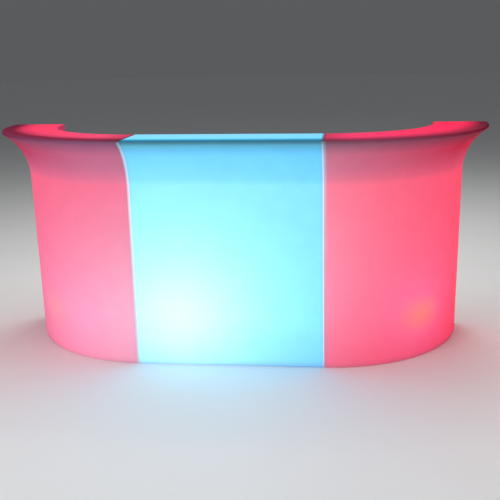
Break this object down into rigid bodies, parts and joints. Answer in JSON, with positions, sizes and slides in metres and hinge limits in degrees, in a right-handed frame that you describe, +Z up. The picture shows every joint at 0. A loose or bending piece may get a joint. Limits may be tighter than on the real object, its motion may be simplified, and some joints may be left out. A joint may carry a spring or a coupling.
{
  "type": "illuminated bar counter",
  "caption": "U-shaped illuminated bar counter: a straight module between quarter-round corner modules, hollow translucent shells with a flared lip and lamp units in the rear.",
  "frame": {"origin": "on the floor, at the centre of the plan's bounding box", "axes": "+X along the straight module, +Y from the guests' side to the bartender's side, +Z up"},
  "size_m": [2.54, 0.82, 1.1],
  "materials": {
    "red_polyethylene": "translucent rotomoulded, lit red from inside",
    "cyan_polyethylene": "translucent rotomoulded, lit cyan from inside",
    "black_rubber": "matte",
    "stainless_plate": "brushed along its length",
    "zinc_screw": "zinc plated",
    "insert_brass": "machined",
    "nickel_nut": "nickel plated",
    "grey_abs": "fine moulded texture",
    "board_aluminium": "white solder mask",
    "led_resin": "lit",
    "opal_diffuser": "opal, lit",
    "battery_wrap": "shrink wrap",
    "circuit_green": "solder mask",
    "lead_sheath": "matte",
    "button_black": "fine moulded texture",
    "switch_steel": "turned",
    "socket_black": "moulded",
    "flap_rubber": "matte"
  },
  "bodies": {
    "counter": {"centre_battery_pack": "battery_wrap", "centre_button_switch": "switch_steel", "centre_charge_socket": "socket_black", "centre_control_board": "circuit_green", "centre_diffuser_dome": "opal_diffuser", "centre_lamp_gasket": "black_rubber", "centre_lamp_housing": "grey_abs", "centre_lamp_lead": "lead_sheath", "centre_led_board": "board_aluminium", "centre_led_chips": "led_resin", "centre_shell": "cyan_polyethylene", "flap_pins": "zinc_screw", "foot_pads": "black_rubber", "lamp_inserts": "insert_brass", "lamp_screws": "zinc_screw", "left_battery_pack": "battery_wrap", "left_button_switch": "switch_steel", "left_charge_socket": "socket_black", "left_control_board": "circuit_green", "left_corner_shell": "red_polyethylene", "left_diffuser_dome": "opal_diffuser", "left_joining_plate": "stainless_plate", "left_lamp_gasket": "black_rubber", "left_lamp_housing": "grey_abs", "left_lamp_lead": "lead_sheath", "left_led_board": "board_aluminium", "left_led_chips": "led_resin", "panel_nuts": "nickel_nut", "plate_inserts": "insert_brass", "plate_screws": "zinc_screw", "right_battery_pack": "battery_wrap", "right_button_switch": "switch_steel", "right_charge_socket": "socket_black", "right_control_board": "circuit_green", "right_corner_shell": "red_polyethylene", "right_diffuser_dome": "opal_diffuser", "right_joining_plate": "stainless_plate", "right_lamp_gasket": "black_rubber", "right_lamp_housing": "grey_abs", "right_lamp_lead": "lead_sheath", "right_led_board": "board_aluminium", "right_led_chips": "led_resin"},
    "left_button": {"left_power_button": "button_black"},
    "left_flap": {"left_socket_flap": "flap_rubber"},
    "centre_button": {"centre_power_button": "button_black"},
    "centre_flap": {"centre_socket_flap": "flap_rubber"},
    "right_button": {"right_power_button": "button_black"},
    "right_flap": {"right_socket_flap": "flap_rubber"}
  },
  "joints": [
    {"name": "left_button_press", "type": "slide", "parent": "counter", "child": "left_button", "axis": [-0.7071, -0.7071, 0], "range_m": [0, 0.002], "stiffness_N_per_m": 600, "springref_m": -0.002},
    {"name": "left_flap_lift", "type": "hinge", "parent": "counter", "child": "left_flap", "pos_m": [-0.71391, 0.197, 0.278], "axis": [0.7071, -0.7071, 0], "range_deg": [0, 110]},
    {"name": "centre_button_press", "type": "slide", "parent": "counter", "child": "centre_button", "axis": [0, -1, 0], "range_m": [0, 0.002], "stiffness_N_per_m": 600, "springref_m": -0.002},
    {"name": "centre_flap_lift", "type": "hinge", "parent": "counter", "child": "centre_flap", "pos_m": [-0.256, 0.05445, 0.278], "axis": [1, 0, 0], "range_deg": [0, 110]},
    {"name": "right_button_press", "type": "slide", "parent": "counter", "child": "right_button", "axis": [0.7071, -0.7071, 0], "range_m": [0, 0.002], "stiffness_N_per_m": 600, "springref_m": -0.002},
    {"name": "right_flap_lift", "type": "hinge", "parent": "counter", "child": "right_flap", "pos_m": [0.663, 0.14609, 0.278], "axis": [0.7071, 0.7071, 0], "range_deg": [0, 110]}
  ]
}
